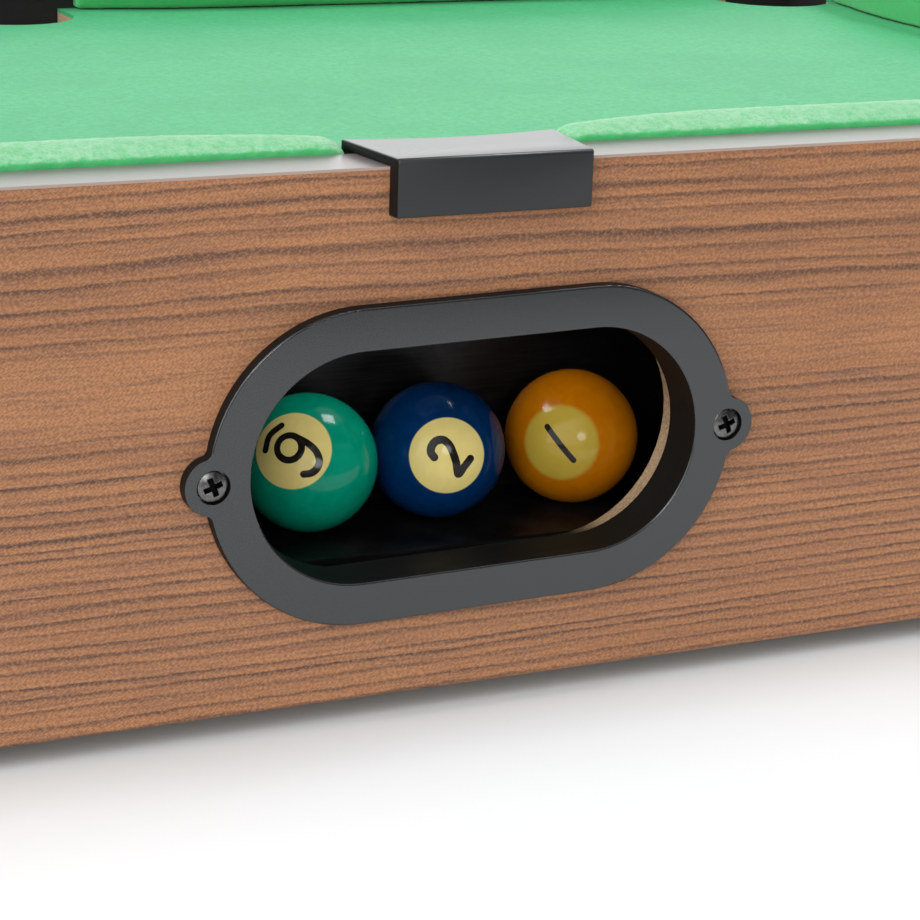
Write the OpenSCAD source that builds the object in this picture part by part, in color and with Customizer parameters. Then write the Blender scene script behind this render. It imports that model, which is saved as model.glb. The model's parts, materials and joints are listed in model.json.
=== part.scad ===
// Tabletop pool table with a ball return window in its front panel.
// Millimetres, +Z up. The origin is on the floor under the middle of the table, and the front faces -Y.

/* [Cabinet] */
// Length over the panels
table_l = 510; // [470:1:600]
// Width over the panels
table_w = 310; // [285:1:380]
// Height of a panel with its edge band
panel_h = 93; // [91:0.5:110]
// Thickness of a panel
panel_t = 12; // [10:0.5:15]
// Thickness of the edge band on top of a panel
band_t = 0.5; // [0.4:0.1:2]
// Height of the panels above the floor
floor_gap = 4; // [3:0.5:8]
// Thickness of the base board
base_t = 3; // [2:0.5:4]
// Height of the base board's underside above the panels' lower edges
base_inset = 2; // [0.5:0.5:4]
// Width of a corner block
block_w = 24; // [20:1:28]
// Height of a corner block
block_h = 20; // [19:0.5:22]
// Chamfer on a corner block's inner edge
block_chamfer = 5; // [2:0.5:6]

/* [Feet and screws] */
// Diameter of a foot where it meets the base board
foot_d = 20; // [16:0.5:22]
// Diameter of a foot where it meets the floor
foot_tip_d = 17; // [15:0.5:20]
// Depth of the screw recess in a foot
foot_recess = 3; // [2.5:0.1:4]
// Diameter of a wood screw's shank
screw_d = 3; // [2:0.1:4]
// Diameter of a wood screw's head
screw_head_d = 6; // [5:0.1:7]
// Height of a wood screw's head
screw_head_h = 1.8; // [1.2:0.1:2.2]
// Radial clearance round a screw's shank
screw_clear = 0.1; // [0.05:0.05:0.3]
// Radial clearance round a screw's head
head_gap = 0.3; // [0.2:0.05:0.5]
// Depth of a screw's end in the wood that it holds
screw_bite = 8; // [6:0.5:9]

/* [Bed] */
// Depth of the cloth below the top of the panels
bed_drop = 15; // [12:0.5:18]
// Thickness of the bed board
bed_t = 5; // [4:0.5:8]
// Thickness of the bed cloth
cloth_t = 1; // [0.6:0.1:2]
// Width of a cleat under the bed board
cleat_w = 12; // [8:0.5:14]
// Height of a cleat under the bed board
cleat_h = 10; // [8:0.5:14]
// Clear length between a cleat and a pocket
cleat_gap = 6; // [3:0.5:12]

/* [Cushions] */
// Depth of a cushion from the panel to its nose
cushion_d = 15.2; // [12:0.1:18]
// Depth of a cushion at its ends
cushion_end_d = 9.2; // [6:0.1:11]
// Length over which an end runs out to the full depth
cushion_run = 40; // [20:1:45]
// Height of a cushion's outer side above the panel
cushion_rise = 1.5; // [0.5:0.1:3]
// Swell of a cushion's top between its outer side and its nose
cushion_crown = 1.9; // [0.5:0.1:3]
// Radius along a cushion's outer top edge
cushion_shoulder_r = 1.3; // [0.6:0.1:1.6]
// Height of the nose above the cloth
nose_h = 13.9; // [10:0.1:15]
// Radius of the nose
nose_r = 2; // [1:0.1:2.2]
// Depth of the foot of a cushion behind its nose
cushion_undercut = 6; // [3:0.1:8]
// Length over which an end is drawn in
cushion_draw_l = 4; // [2:0.1:6]
// Amount by which an end is drawn in
cushion_draw = 1.6; // [0.5:0.1:2.5]
// Clearance round a soft piece
soft_gap = 0.3; // [0.2:0.05:0.6]

/* [Pockets] */
// Radius of a side pocket's cut-out in the bed
side_pocket_r = 16.5; // [15:0.1:18]
// Distance of a side pocket's centre from the panel
side_pocket_c = 12; // [10:0.1:14]
// Radius of a corner pocket's cut-out in the bed, which touches both panels
corner_pocket_r = 18; // [16:0.1:19]

/* [Pocket guards] */
// Half the width of a side guard at its skirt
guard_half = 18; // [17:0.1:22]
// Flare of a side guard's flange on each side
guard_flare = 2.1; // [0.5:0.1:3]
// Reach of a side guard past the panel at its middle
guard_mid = 1.8; // [1.7:0.1:3]
// Reach of a side guard past the panel at its tips
guard_tip = 4.5; // [4:0.1:7]
// Length of a corner guard along each panel
corner_guard_l = 43; // [40:0.5:46]
// Thickness of a guard's flange over the panel
guard_t = 1.7; // [1:0.1:2.5]
// Thickness of a guard's outer skirt
skirt_t = 3; // [2.5:0.1:3.5]
// Depth of a guard's outer skirt below the top of the panel
skirt_drop = 8.2; // [6:0.1:14]
// Radius along a guard's outer top edge
guard_edge_r = 0.7; // [0.5:0.1:1.4]
// Thickness of the lining behind a pocket
lining_t = 1.5; // [1:0.1:1.6]
// Depth of the lining below the top of the panel
lining_drop = 8; // [5:0.1:12]
// Reach of a corner guard's flange over the edge of its pocket
lip_over = 0.8; // [0.4:0.1:1.2]
// Clearance between a guard and a cushion
cushion_gap = 0.5; // [0.4:0.1:3]

/* [Return window] */
// Distance of the window's centre to the right of the table's middle
window_x = -0.8; // [-10:0.1:10]
// Height of the window's centre above the panel's lower edge
window_z = 42.6; // [40:0.1:50]
// Turn of the window from level, in degrees
window_turn = 1.1; // [0:0.1:2]
// Half the straight length of the window
window_half = 21.7; // [15:0.1:30]
// Radius of the window's round ends
window_r = 20.3; // [18:0.1:22]
// Radius of the frame's round ends
frame_r = 27.8; // [26:0.1:32]
// Thickness of the frame on the panel
frame_t = 2.5; // [2:0.1:2.5]
// Radius along the frame's outer edge
frame_edge_r = 0.4; // [0.3:0.1:1.2]
// Radius along the frame's inner edge
frame_lip_r = 0.4; // [0.3:0.1:1]
// Thickness of the sleeve in the panel
sleeve_t = 1.2; // [0.8:0.1:2]
// Length of the sleeve in the panel
sleeve_l = 5.9; // [3:0.1:9]
// Narrowing of the sleeve towards its inner end
sleeve_draft = 0.4; // [0:0.05:0.6]
// Clearance of the sleeve in the panel
sleeve_gap = 0.5; // [0.2:0.1:1]
// Distance of a frame screw from the window's centre
ear_x = 48.6; // [48.2:0.1:52]
// Radius of the frame's ears
ear_r = 5; // [4.5:0.1:6]
// Radius of the fillets beside the ears
ear_fillet = 1.5; // [1:0.1:8]
// Diameter of a frame screw's head
frame_head_d = 5.3; // [5:0.1:6.4]
// Height of a frame screw's head
frame_head_h = 1.3; // [1:0.1:1.6]
// Height of the dome on a frame screw's head
frame_head_dome = 0.5; // [0.3:0.05:0.8]
// Length of the cross recess in a frame screw
cross_l = 3.4; // [2.5:0.1:4.2]
// Width of the cross recess in a frame screw
cross_w = 1; // [0.6:0.1:1.2]
// Depth of the cross recess in a frame screw
cross_depth = 0.9; // [0.5:0.05:0.9]
// Turn of the cross recess in a frame screw, in degrees
cross_turn = 20; // [0:1:90]

/* [Ball return] */
// Thickness of the return's boards
board_t = 3; // [2:0.5:4]
// Clearance at the ends of the return's boards
board_gap = 0.4; // [0.2:0.1:1]
// Width of the gully behind the front panel
gully_w = 29.5; // [28:0.5:34]
// Half the length of the level tray
tray_half = 75; // [70:1:90]
// Depth of the tray's floor below the window's lower edge
tray_step = 0.7; // [0:0.1:1]
// Slope of the gully's ramps, in degrees
ramp_slope = 2.5; // [1:0.1:3]
// Height of the deck's front edge above the tray's floor
deck_step = 9; // [5:0.5:10]
// Slope of the return deck, in degrees
deck_slope = 2.8; // [1:0.1:3]
// Width of a bearer
bearer_w = 10; // [6:0.5:14]
// Distance of the outer bearers from the end panels
bearer_inset = 42; // [38:1:50]
// Height of a deflector on the deck
deflector_h = 16; // [12:0.5:20]
// Distance of the deflectors' meeting point behind the deck's front edge
deflector_apex = 60; // [45:1:80]
// Distance of a deflector's front end from the middle of the table
deflector_reach = 92; // [85:1:110]
// Distance of a deflector's front end behind the deck's front edge
deflector_toe = 4; // [2:0.5:10]

/* [Balls] */
// Diameter of a ball
ball_d = 25; // [22:0.1:26]
// Clearance of a ball above the tray's floor
ball_lift = 0.2; // [0.1:0.05:0.3]
// Clearance of a ball in front of the tray's back wall
ball_back = 1; // [0.5:0.1:2]
// Distance of ball six to the right of the window's centre
six_x = -19.5; // [-24:0.1:-15]
// Gap between balls six and two
ball_gap = 0.3; // [0.3:0.1:1]
// Gap between balls two and one
loose_gap = 2.6; // [0.5:0.1:8]

/* [Hidden] */
$fn = 64;

// Turns about +Z that bring the front side to each side
FRONT = 0;
RIGHT = 90;
REAR = 180;
LEFT = -90;

WOOD = "#9a6a4c";
RAW_WOOD = "#c9a983";
GREY = "#bdbdbd";
CLOTH = "#7dd3a0";
BLACK = "#3f4143";
TRAY = "#1a1a1a";
RUBBER = "#2a2a2a";
STEEL = "#8a8c8f";

// Inside of the panels and the levels of the table
in_x = table_l / 2 - panel_t;
in_y = table_w / 2 - panel_t;
rail_z = floor_gap + panel_h;
bed_z = rail_z - bed_drop;
bed_under = bed_z - cloth_t - bed_t;
base_z = floor_gap + base_inset;
base_top = base_z + base_t;

// Screws of a corner block, one over the other so that they pass clear
screw_hole_d = screw_d + 2 * screw_clear;
block_c = panel_t + block_w / 2;
foot_screw_top = base_top + screw_bite + screw_d / 2;
low_screw_z = foot_screw_top + screw_d;
high_screw_z = low_screw_z + screw_d + 4 * screw_clear;

// Guards: radius of a side guard's hollow edge, from its chord and its rise
side_tip_x = guard_half + guard_flare;
side_rise = guard_tip - guard_mid;
side_arc_r = (side_tip_x * side_tip_x + side_rise * side_rise) / (2 * side_rise);
corner_lip_r = corner_pocket_r - lip_over;
corner_lip_c = panel_t + corner_pocket_r;

// Ends of the cushions
side_end_x = side_tip_x + cushion_gap;
corner_end = corner_guard_l + cushion_gap;
long_cushion_l = table_l / 2 - corner_end - side_end_x;
long_cushion_x = (table_l / 2 - corner_end + side_end_x) / 2;
short_cushion_l = table_w - 2 * corner_end;

// Return window, tray, ramps and deck
window_cz = floor_gap + window_z;
hole_r = window_r + sleeve_t + sleeve_gap;
tray_z = window_cz - window_r - tray_step;
wall_y = gully_w - in_y;
tray_back_y = wall_y + board_t;
ramp_x = tray_half + board_gap;
ramp_l = (in_x - ramp_x - board_gap - board_t * sin(ramp_slope)) / cos(ramp_slope);
deck_y = tray_back_y + board_gap;
deck_z = tray_z + deck_step;
deck_l = (in_y - deck_y - board_gap - board_t * sin(deck_slope)) / cos(deck_slope);

// Balls on the tray
ball_y = wall_y - ball_back - ball_d / 2;
ball_z = tray_z + ball_lift + ball_d / 2;
six_cx = window_x + six_x;
two_cx = six_cx + ball_d + ball_gap;
one_cx = two_cx + ball_d + loose_gap;

// Small overlap that keeps cuts and joined shapes clean
eps = 0.05;

// Undersides of a ramp and of the deck
function ramp_under(x) = tray_z + (x - ramp_x) * tan(ramp_slope) - board_t / cos(ramp_slope);
function deck_under(y) = deck_z + (y - deck_y) * tan(deck_slope) - board_t / cos(deck_slope);

// Lengths of a side, and across the table from it
function side_l(turn) = turn % 180 == 0 ? table_l : table_w;
function side_w(turn) = turn % 180 == 0 ? table_w : table_l;

// Places children on a side: x along it, y inwards from its outer face
module at_side(turn) {
    rotate([0, 0, turn]) translate([0, -side_w(turn) / 2, 0]) children();
}

// Places children at a corner: x and y inwards from the outer corner
module at_corner(sx, sy) {
    turn = sx < 0 ? (sy < 0 ? FRONT : LEFT) : (sy < 0 ? RIGHT : REAR);
    translate([sx * table_l / 2, sy * table_w / 2, 0]) rotate([0, 0, turn]) children();
}

module at_corners() {
    for (sx = [-1, 1], sy = [-1, 1]) at_corner(sx, sy) children();
}

// Places children on the window: x along it, y up, z outwards from the panel's face
module at_window() {
    translate([window_x, -table_w / 2, window_cz]) rotate([90, 0, 0]) rotate([0, 0, window_turn]) children();
}

// Cabinet

// Strip along a side with mitred ends
module mitred_strip(turn, z, h) {
    l = side_l(turn) / 2;
    at_side(turn) translate([0, 0, z]) linear_extrude(h)
        polygon([[-l, 0], [l, 0], [l - panel_t, panel_t], [panel_t - l, panel_t]]);
}

// Shapes of the screws that hold the corner blocks to the panels
module block_screw_shapes(d, head_d, head_h, l) {
    at_corners() {
        translate([block_c, panel_t + block_w, low_screw_z]) rotate([90, 0, 0])
            screw_shape(d, head_d, head_h, l);
        translate([panel_t + block_w, block_c, high_screw_z]) rotate([0, -90, 0])
            screw_shape(d, head_d, head_h, l);
    }
}

// Screw along +Z whose head ends at z = 0 and whose shank starts there
module screw_shape(d, head_d, head_h, l) {
    translate([0, 0, -head_h]) cylinder(d = head_d, h = head_h);
    translate([0, 0, -eps]) cylinder(d = d, h = l + eps);
}

module block_screw_holes() {
    block_screw_shapes(screw_hole_d, screw_hole_d, eps, block_w + screw_bite + screw_clear);
}

module panel_blank(turn) {
    difference() {
        mitred_strip(turn, floor_gap, panel_h - band_t);
        block_screw_holes();
    }
}

module panel(turn) {
    color(WOOD) panel_blank(turn);
}

module edge_band(turn) {
    color(GREY) mitred_strip(turn, rail_z - band_t, band_t);
}

module front_panel() {
    color(WOOD) difference() {
        panel_blank(FRONT);
        at_window() {
            translate([0, 0, -panel_t - eps]) linear_extrude(panel_t + 2 * eps) slot_2d(hole_r);
            for (s = [-1, 1]) translate([s * ear_x, 0, -screw_bite - screw_clear])
                cylinder(d = screw_hole_d, h = screw_bite + 2 * screw_clear);
        }
    }
}

module base_board() {
    color(RAW_WOOD) difference() {
        translate([-in_x, -in_y, base_z]) cube([2 * in_x, 2 * in_y, base_t]);
        foot_screw_holes();
    }
}

module corner_blocks() {
    color(RAW_WOOD) difference() {
        at_corners() translate([panel_t, panel_t, base_top]) linear_extrude(block_h)
            polygon([[0, 0], [block_w, 0], [block_w, block_w - block_chamfer],
                [block_w - block_chamfer, block_w], [0, block_w]]);
        block_screw_holes();
        foot_screw_holes();
    }
}

module block_screws() {
    color(STEEL) block_screw_shapes(screw_d, screw_head_d, screw_head_h, block_w + screw_bite);
}

// Shafts of the screws that hold the feet and the base board to the corner blocks
module foot_screw_shapes(d, head_d, head_h, top) {
    at_corners() translate([block_c, block_c, foot_recess]) screw_shape(d, head_d, head_h, top - foot_recess);
}

module foot_screw_holes() {
    foot_screw_shapes(screw_hole_d, screw_hole_d, foot_recess, foot_screw_top + screw_clear);
}

module feet() {
    color(RUBBER) difference() {
        at_corners() translate([block_c, block_c, 0]) cylinder(d1 = foot_tip_d, d2 = foot_d, h = base_z);
        at_corners() translate([block_c, block_c, -eps])
            cylinder(d = screw_head_d + 2 * head_gap, h = foot_recess + eps);
        foot_screw_holes();
    }
}

module foot_screws() {
    color(STEEL) foot_screw_shapes(screw_d, screw_head_d, screw_head_h, foot_screw_top);
}

// Bed

// Outline of the bed with its six pockets
module bed_2d(gap) {
    difference() {
        square([2 * (in_x - gap), 2 * (in_y - gap)], center = true);
        for (s = [-1, 1]) translate([0, s * (in_y - side_pocket_c)]) {
            circle(side_pocket_r);
            translate([0, s * side_pocket_c / 2]) square([2 * side_pocket_r, side_pocket_c], center = true);
        }
        for (sx = [-1, 1], sy = [-1, 1])
            translate([sx * (in_x - corner_pocket_r), sy * (in_y - corner_pocket_r)]) {
                circle(corner_pocket_r);
                translate([sx, sy] * corner_pocket_r / 2) square(corner_pocket_r, center = true);
            }
    }
}

module bed_board() {
    color(RAW_WOOD) translate([0, 0, bed_under]) linear_extrude(bed_t) bed_2d(board_gap);
}

module bed_cloth() {
    color(CLOTH) translate([0, 0, bed_z - cloth_t]) linear_extrude(cloth_t) bed_2d(board_gap);
}

// Strip of wood under the bed's edge, from x1 to x2 along a side
module cleat(turn, x1, x2) {
    color(RAW_WOOD) at_side(turn) translate([x1, panel_t, bed_under - cleat_h])
        cube([x2 - x1, cleat_w, cleat_h]);
}

cleat_side_x = side_pocket_r + cleat_gap;
cleat_corner = panel_t + 2 * corner_pocket_r + cleat_gap;

module long_cleat(turn, s) {
    from = cleat_side_x;
    to = table_l / 2 - cleat_corner;
    cleat(turn, s < 0 ? -to : from, s < 0 ? -from : to);
}

module short_cleat(turn) {
    to = table_w / 2 - cleat_corner;
    cleat(turn, -to, to);
}

// Cushions

// Points of an arc from one angle to another
function arc(c, r, from, to, steps) = [for (i = [0:steps]) let (a = from + (to - from) * i / steps)
    c + r * [cos(a), sin(a)]];

// Depth of a cushion, and how far it is drawn in, at a distance from its nearer end
function run_out(u) = 1 - pow(1 - min(1, u / cushion_run), 2);
function depth_at(u) = cushion_end_d + (cushion_d - cushion_end_d) * run_out(u);
function draw_at(u) = cushion_draw * pow(1 - min(1, u / cushion_draw_l), 2);

// Section of a cushion: y inwards from the panel, z up from the cloth
shoulder_steps = 4;
crown_steps = 7;
nose_steps = 6;
function shoulder(top) = let (r = cushion_shoulder_r)
    arc([soft_gap + r, top - r], r, 180, 100, shoulder_steps);
function nose(d, drawn) = arc([d - nose_r, nose_h - drawn / 2], nose_r, 70, -40, nose_steps);
function crown(a, b) = let (swell = cushion_crown * (b[0] - a[0]) / (cushion_d - nose_r - cushion_shoulder_r))
    [for (i = [1:crown_steps - 1]) a + (b - a) * i / crown_steps + [0, swell * sin(180 * i / crown_steps)]];
function section(d, drawn) =
    let (back = shoulder(bed_drop + cushion_rise - drawn), front = nose(d - drawn / 2, drawn))
    concat([[soft_gap, soft_gap]], back, crown(back[shoulder_steps], front[0]), front,
        [[max(d - cushion_undercut, d / 2), soft_gap]]);

// Distances along a cushion: close together at its ends, none between its run-outs
end_steps = 11;
function stations(l) = let (run = min(cushion_run, l / 2))
    concat([for (i = [0:end_steps]) run * pow(i / end_steps, 1.6)],
        [for (i = [end_steps:-1:0]) l - run * pow(i / end_steps, 1.6)]);

module cushion(l) {
    xs = stations(l);
    rings = [for (x = xs) let (u = min(x, l - x)) section(depth_at(u), draw_at(u))];
    count = len(rings[0]);
    last = len(xs) - 1;
    middle = [depth_at(0) / 2, nose_h / 2];
    points = concat(
        [for (i = [0:last], p = rings[i]) [xs[i] - l / 2, p[0], p[1]]],
        [for (x = [0, l]) [x - l / 2, middle[0], middle[1]]]);
    first_middle = (last + 1) * count;
    sides = [for (i = [0:last - 1], j = [0:count - 1]) let (k = (j + 1) % count, a = i * count, b = a + count)
        each [[a + j, a + k, b + k], [a + j, b + k, b + j]]];
    ends = [for (j = [0:count - 1]) let (k = (j + 1) % count, b = last * count)
        each [[first_middle, k, j], [first_middle + 1, b + j, b + k]]];
    color(CLOTH) polyhedron(points, concat(sides, ends));
}

module long_cushion(turn, s) {
    at_side(turn) translate([s * long_cushion_x, panel_t, bed_z]) cushion(long_cushion_l);
}

module short_cushion(turn) {
    at_side(turn) translate([0, panel_t, bed_z]) cushion(short_cushion_l);
}

// Pocket guards

// Envelope of a guard's flange and skirt, rounded along the outer top edge: x inwards, y up
module guard_2d(reach) {
    low = rail_z - skirt_drop;
    h = skirt_drop + guard_t;
    translate([-skirt_t, low]) {
        square([skirt_t + reach, h - guard_edge_r]);
        translate([guard_edge_r, 0]) square([skirt_t + reach - guard_edge_r, h]);
        translate([guard_edge_r, h - guard_edge_r]) circle(guard_edge_r);
    }
}

// Room for the panels under a guard, within a square of the given size
module panel_room(size) {
    translate([0, 0, rail_z - skirt_drop - eps]) cube([size, size, skirt_drop + eps]);
}

// Outline of a side guard from above, with its hollow edge along the pocket
module side_guard_2d() {
    tip_y = panel_t + guard_tip;
    difference() {
        polygon([[-guard_half, -skirt_t], [guard_half, -skirt_t], [side_tip_x, tip_y], [-side_tip_x, tip_y]]);
        side_pocket_edge(0);
    }
}

module side_pocket_edge(wall) {
    translate([0, panel_t + guard_mid + side_arc_r]) circle(side_arc_r + wall, $fn = 256);
}

module side_guard(turn) {
    color(BLACK) at_side(turn) {
        difference() {
            intersection() {
                translate([-side_tip_x, 0, 0]) rotate([90, 0, 90]) linear_extrude(2 * side_tip_x)
                    guard_2d(panel_t + guard_tip);
                linear_extrude(rail_z + guard_t) side_guard_2d();
            }
            translate([-2 * side_tip_x, 0, 0]) panel_room(4 * side_tip_x);
        }
        translate([0, 0, rail_z - lining_drop]) linear_extrude(lining_drop + guard_t / 2) intersection() {
            side_guard_2d();
            side_pocket_edge(lining_t);
            translate([-side_tip_x, panel_t]) square([2 * side_tip_x, guard_tip]);
        }
    }
}

// Outline of a corner guard from above, with its hollow edge round the pocket
module corner_guard_2d() {
    outer = corner_guard_l + skirt_t;
    difference() {
        translate([-skirt_t, -skirt_t]) {
            translate([skirt_t, 0]) square([outer - skirt_t, outer]);
            translate([0, skirt_t]) square([outer, outer - skirt_t]);
            translate([skirt_t, skirt_t]) circle(skirt_t);
        }
        translate([corner_lip_c, corner_lip_c]) {
            circle(corner_lip_r);
            square(outer);
        }
    }
}

module corner_guard(sx, sy) {
    length = corner_guard_l + skirt_t;
    color(BLACK) at_corner(sx, sy) {
        difference() {
            intersection() {
                translate([-skirt_t, 0, 0]) rotate([90, 0, 90]) linear_extrude(length)
                    guard_2d(corner_guard_l);
                translate([0, corner_guard_l, 0]) rotate([90, 0, 0]) linear_extrude(length)
                    guard_2d(corner_guard_l);
                linear_extrude(rail_z + guard_t) corner_guard_2d();
            }
            panel_room(length);
        }
        translate([0, 0, rail_z - lining_drop]) linear_extrude(lining_drop + guard_t / 2) intersection() {
            corner_guard_2d();
            translate([corner_lip_c, corner_lip_c]) circle(corner_lip_r + lining_t);
            translate([panel_t, panel_t]) square(corner_guard_l - panel_t);
        }
    }
}

// Return window

// Outline with round ends, as long as the window
module slot_2d(r) {
    for (s = [-1, 1]) translate([s * window_half, 0]) circle(r);
    square([2 * window_half, 2 * r], center = true);
}

// Sweeps a section round the window: x outwards from the window's centre line, y out of the panel
module slot_sweep() {
    for (turn = [0, 180]) rotate([0, 0, turn]) {
        translate([window_half, 0, 0]) rotate([0, 0, -90]) rotate_extrude(angle = 180) children();
        translate([-window_half, 0, 0]) rotate([90, 0, 90]) linear_extrude(2 * window_half) children();
    }
}

// Section of the frame: a flange with rounded edges and a tapering sleeve
module frame_section() {
    flange = frame_r - window_r;
    translate([window_r, 0]) {
        square([flange / 2, frame_t - frame_lip_r]);
        translate([flange / 2, 0]) square([flange / 2, frame_t - frame_edge_r]);
        translate([frame_lip_r, 0]) square([flange - frame_lip_r - frame_edge_r, frame_t]);
        translate([frame_lip_r, frame_t - frame_lip_r]) circle(frame_lip_r);
        translate([flange - frame_edge_r, frame_t - frame_edge_r]) circle(frame_edge_r);
    }
    polygon([[window_r, eps], [window_r + sleeve_t, eps], [window_r + sleeve_t, -sleeve_l],
        [window_r - sleeve_draft, -sleeve_l]]);
}

// Ear on the right of the frame, with its two fillets, which cross both outlines by a hair
module ear_2d() {
    apart = ear_x - window_half;
    to_frame = frame_r + ear_fillet - eps;
    to_ear = ear_r + ear_fillet - eps;
    along = (apart * apart + to_frame * to_frame - to_ear * to_ear) / (2 * apart);
    aside = sqrt(to_frame * to_frame - along * along);
    difference() {
        union() {
            translate([ear_x, 0]) circle(ear_r);
            for (s = [-1, 1]) difference() {
                polygon([[window_half, 0], [window_half + along, s * aside], [ear_x, 0]]);
                translate([window_half + along, s * aside]) circle(ear_fillet);
            }
        }
        slot_2d(frame_r - 2 * frame_edge_r);
    }
}

module window_frame() {
    color(BLACK) at_window() difference() {
        union() {
            slot_sweep() frame_section();
            for (turn = [0, 180]) rotate([0, 0, turn]) linear_extrude(frame_t) ear_2d();
        }
        for (s = [-1, 1]) translate([s * ear_x, 0, 0]) {
            translate([0, 0, -eps]) cylinder(d = screw_hole_d, h = frame_t + 2 * eps);
            translate([0, 0, frame_t - frame_head_h])
                cylinder(d = frame_head_d + 2 * head_gap, h = frame_head_h + eps);
        }
    }
}

// Domed screw head with a cross recess
module cross_head() {
    r = frame_head_d / 2;
    dome_r = (r * r + frame_head_dome * frame_head_dome) / (2 * frame_head_dome);
    difference() {
        intersection() {
            cylinder(r = r, h = frame_head_h);
            translate([0, 0, frame_head_h - dome_r]) sphere(dome_r);
        }
        for (turn = [0, 90]) rotate([0, 0, cross_turn + turn])
            translate([-cross_l / 2, -cross_w / 2, frame_head_h - cross_depth])
                cube([cross_l, cross_w, cross_depth + eps]);
    }
}

module window_screws() {
    color(RUBBER) at_window() for (s = [-1, 1]) translate([s * ear_x, 0, frame_t - frame_head_h]) {
        cross_head();
        translate([0, 0, -screw_bite - frame_t + frame_head_h])
            cylinder(d = screw_d, h = screw_bite + frame_t - frame_head_h + eps);
    }
}

// Ball return

module tray_floor() {
    color(TRAY) translate([-tray_half, -in_y, tray_z - board_t])
        cube([2 * tray_half, tray_back_y + in_y, board_t]);
}

module tray_back_wall() {
    color(TRAY) translate([-tray_half, wall_y, tray_z]) cube([2 * tray_half, board_t, bed_under - tray_z]);
}

module tray_bearers() {
    color(RAW_WOOD) for (s = [-1, 1])
        translate([s * (tray_half - bearer_w) - bearer_w / 2, -in_y, base_top])
            cube([bearer_w, tray_back_y + in_y, tray_z - board_t - base_top]);
}

module gully_ramp(s) {
    color(TRAY) mirror([s < 0 ? 1 : 0, 0, 0]) translate([ramp_x, -in_y, tray_z]) rotate([0, -ramp_slope, 0])
        translate([0, 0, -board_t]) cube([ramp_l, tray_back_y + in_y, board_t]);
}

// Blocks under the ramps, cut to their slope
module ramp_bearers() {
    color(RAW_WOOD) for (s = [0, 1], x = [ramp_x + bearer_w, in_x - bearer_inset]) mirror([s, 0, 0])
        translate([0, tray_back_y, 0]) rotate([90, 0, 0]) linear_extrude(tray_back_y + in_y)
            polygon([[x, base_top], [x + bearer_w, base_top], [x + bearer_w, ramp_under(x + bearer_w)],
                [x, ramp_under(x)]]);
}

// Places children on the deck: x along the table, y up the slope, z square to the deck from its top
module on_deck() {
    translate([0, deck_y, deck_z]) rotate([deck_slope, 0, 0]) children();
}

module return_deck() {
    color(RAW_WOOD) on_deck() translate([board_gap - in_x, 0, -board_t])
        cube([2 * (in_x - board_gap), deck_l, board_t]);
}

// Ribs under the deck, cut to its slope
module deck_bearers() {
    front = deck_y + bearer_w;
    back = in_y - bearer_w;
    side_x = in_x - bearer_inset;
    color(RAW_WOOD) for (x = [-side_x, 0, side_x]) translate([x - bearer_w / 2, 0, 0]) rotate([90, 0, 90])
        linear_extrude(bearer_w)
            polygon([[front, base_top], [back, base_top], [back, deck_under(back)],
                [front, deck_under(front)]]);
}

module deflector(s) {
    color(RAW_WOOD) on_deck() mirror([s < 0 ? 1 : 0, 0, 0]) linear_extrude(deflector_h)
        polygon([[board_gap / 2, deflector_apex], [deflector_reach, deflector_toe],
            [deflector_reach, deflector_toe + board_t], [board_gap / 2, deflector_apex + board_t]]);
}

// Balls

module ball(x, paint) {
    color(paint) translate([x, ball_y, ball_z]) sphere(d = ball_d);
}

front_panel();
panel(REAR);  // rear_panel
panel(LEFT);  // left_panel
panel(RIGHT);  // right_panel
edge_band(FRONT);  // front_edge_band
edge_band(REAR);  // rear_edge_band
edge_band(LEFT);  // left_edge_band
edge_band(RIGHT);  // right_edge_band
base_board();
corner_blocks();
block_screws();
feet();
foot_screws();
bed_board();
bed_cloth();
long_cleat(FRONT, -1);  // front_left_cleat
long_cleat(FRONT, 1);  // front_right_cleat
long_cleat(REAR, 1);  // rear_left_cleat
long_cleat(REAR, -1);  // rear_right_cleat
short_cleat(LEFT);  // left_cleat
short_cleat(RIGHT);  // right_cleat
long_cushion(FRONT, -1);  // front_left_cushion
long_cushion(FRONT, 1);  // front_right_cushion
long_cushion(REAR, 1);  // rear_left_cushion
long_cushion(REAR, -1);  // rear_right_cushion
short_cushion(LEFT);  // left_cushion
short_cushion(RIGHT);  // right_cushion
side_guard(FRONT);  // front_side_guard
side_guard(REAR);  // rear_side_guard
corner_guard(-1, -1);  // front_left_corner_guard
corner_guard(1, -1);  // front_right_corner_guard
corner_guard(-1, 1);  // rear_left_corner_guard
corner_guard(1, 1);  // rear_right_corner_guard
window_frame();
window_screws();
tray_floor();
tray_back_wall();
tray_bearers();
gully_ramp(-1);  // left_gully_ramp
gully_ramp(1);  // right_gully_ramp
ramp_bearers();
return_deck();
deck_bearers();
deflector(-1);  // left_deflector
deflector(1);  // right_deflector
ball(one_cx, "#c98a1a");  // ball_one
ball(two_cx, "#12305f");  // ball_two
ball(six_cx, "#0f7a55");  // ball_six
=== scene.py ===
import json
import math

import bmesh
import bpy
from mathutils import Matrix, Vector, noise


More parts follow.
